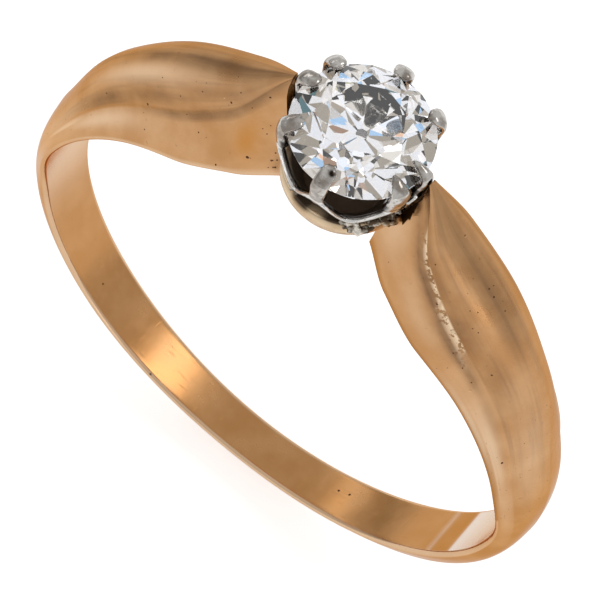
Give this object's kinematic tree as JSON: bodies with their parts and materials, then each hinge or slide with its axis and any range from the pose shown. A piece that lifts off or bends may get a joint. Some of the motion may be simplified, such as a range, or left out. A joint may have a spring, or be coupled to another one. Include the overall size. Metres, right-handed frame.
{
  "type": "engagement ring",
  "caption": "Solitaire engagement ring: pinched rose gold shoulders, wavy white metal crown with claws, gold under-bezel and an old European cut diamond.",
  "frame": {"origin": "centre of the finger bore", "axes": "+Z towards the stone, +Y along the finger away from the camera's side, +X to the right shoulder"},
  "size_m": [0.019, 0.0046, 0.0234],
  "materials": {
    "rose_gold": "polished and worn, fine pits and scratches",
    "yellow_gold": "polished",
    "white_metal": "polished, worn satin on the claw tips",
    "diamond": "polished facets",
    "solder": "rough and pitted"
  },
  "bodies": {
    "root": {"shank": "rose_gold", "under_bezel": "yellow_gold", "crown": "white_metal", "diamond": "diamond", "solder_left": "solder", "solder_right": "solder", "crown_solder": "solder"}
  },
  "joints": []
}
